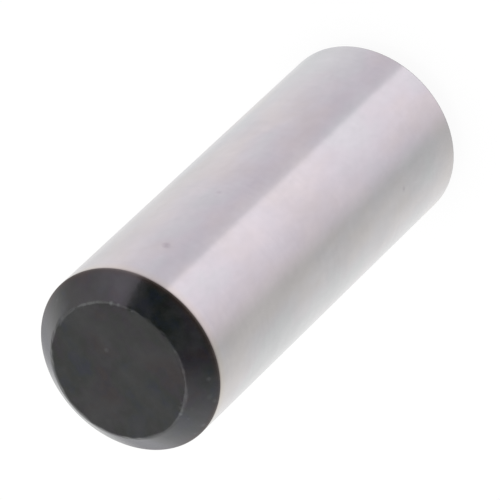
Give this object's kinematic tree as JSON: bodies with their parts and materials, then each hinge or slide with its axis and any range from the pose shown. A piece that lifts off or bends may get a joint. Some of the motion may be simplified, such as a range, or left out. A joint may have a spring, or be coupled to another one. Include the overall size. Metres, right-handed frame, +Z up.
{
  "type": "dowel pin",
  "caption": "Plain cylindrical steel dowel pin with a bright ground barrel and flat, bevelled, blackened ends.",
  "frame": {"origin": "centre of the lower end face, on the surface that the pin stands on", "axes": "+Z up along the pin's axis, out of the upper end face; +X and +Y are any two directions across it"},
  "size_m": [0.008, 0.008, 0.022],
  "materials": {
    "ground_steel": "hardened steel, ground bright round the barrel; end faces and bevels left dull black from blackening"
  },
  "bodies": {
    "root": {"dowel_pin": "ground_steel"}
  },
  "joints": []
}
